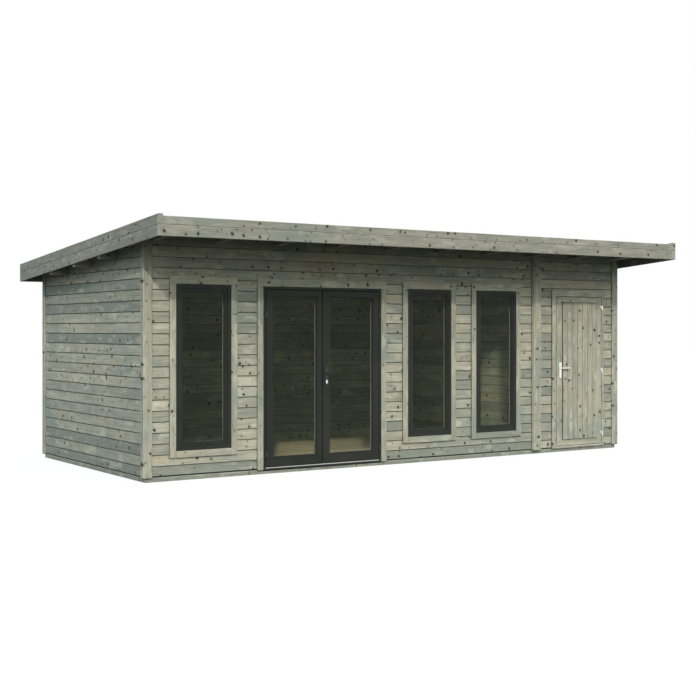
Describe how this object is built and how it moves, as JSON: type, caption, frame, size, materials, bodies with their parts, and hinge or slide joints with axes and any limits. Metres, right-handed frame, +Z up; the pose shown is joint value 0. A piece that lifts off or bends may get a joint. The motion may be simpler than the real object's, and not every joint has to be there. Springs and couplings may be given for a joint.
{
  "type": "garden house",
  "caption": "Mono-pitch timber garden house with a glazed double door, tall fixed windows and a boarded store behind a partition.",
  "frame": {"origin": "on the ground, under the middle of the roof's outline", "axes": "+X along the front to the right, +Y from the front to the back, +Z up"},
  "size_m": [7.03, 3.96, 2.6149],
  "materials": {
    "weathered_timber": "grey-green weathered softwood boards, matt",
    "floor_timber": "planed softwood floor boards, matt",
    "anthracite_frame": "anthracite satin coating",
    "glazing": "clear double glazing",
    "dark_fittings": "black satin",
    "bright_fittings": "satin stainless",
    "threshold_metal": "mill aluminium",
    "roof_felt": "mineral roofing felt"
  },
  "bodies": {
    "house": {"long_sills": "weathered_timber", "cross_sills": "weathered_timber", "left_wall": "weathered_timber", "right_wall": "weathered_timber", "back_wall": "weathered_timber", "partition_wall": "weathered_timber", "front_wall_left": "weathered_timber", "front_wall_right": "weathered_timber", "front_wall_over_door": "weathered_timber", "store_wall_left": "weathered_timber", "store_wall_right": "weathered_timber", "store_wall_over_door": "weathered_timber", "corner_posts": "weathered_timber", "joint_posts": "weathered_timber", "window_trims": "weathered_timber", "double_door_trim": "weathered_timber", "store_door_lining": "weathered_timber", "store_door_trim": "weathered_timber", "rafters": "weathered_timber", "lookouts": "weathered_timber", "roof_deck": "weathered_timber", "upper_fascia": "weathered_timber", "lower_fascia": "weathered_timber", "edge_laths": "weathered_timber", "main_floor": "floor_timber", "store_floor": "floor_timber", "window_frames": "anthracite_frame", "window_sashes": "anthracite_frame", "double_door_frame": "anthracite_frame", "window_panes": "glazing", "double_door_frame_hinges": "dark_fittings", "store_frame_hinges": "bright_fittings", "thresholds": "threshold_metal", "roof_felt": "roof_felt"},
    "left_door": {"left_leaf": "anthracite_frame", "left_leaf_glass": "glazing", "left_leaf_hinges": "dark_fittings"},
    "right_door": {"right_leaf": "anthracite_frame", "right_leaf_glass": "glazing", "right_leaf_hinges": "dark_fittings", "double_door_handle": "dark_fittings"},
    "right_door_lever": {"double_door_lever": "dark_fittings"},
    "store_door": {"store_leaf": "weathered_timber", "store_leaf_panel": "weathered_timber", "store_leaf_hinges": "bright_fittings", "store_door_handle": "bright_fittings"},
    "store_lever": {"store_door_lever": "bright_fittings"}
  },
  "joints": [
    {"name": "left_door_hinge", "type": "hinge", "parent": "house", "child": "left_door", "pos_m": [-1.916, -1.195, 1], "axis": [0, 0, -1], "range_deg": [0, 110]},
    {"name": "right_door_hinge", "type": "hinge", "parent": "house", "child": "right_door", "pos_m": [-0.456, -1.195, 1], "axis": [0, 0, 1], "range_deg": [0, 110]},
    {"name": "store_door_hinge", "type": "hinge", "parent": "house", "child": "store_door", "pos_m": [3.023, -1.199, 1], "axis": [0, 0, 1], "range_deg": [0, 110]},
    {"name": "right_door_lever_turn", "type": "hinge", "parent": "right_door", "child": "right_door_lever", "pos_m": [-1.1575, -1.186, 1.05], "axis": [0, 1, 0], "range_deg": [0, 45], "stiffness_Nm_per_rad": 2, "springref_deg": -28.65},
    {"name": "store_door_lever_turn", "type": "hinge", "parent": "store_door", "child": "store_lever", "pos_m": [2.303, -1.19, 1.05], "axis": [0, 1, 0], "range_deg": [0, 45], "stiffness_Nm_per_rad": 2, "springref_deg": -28.65}
  ]
}
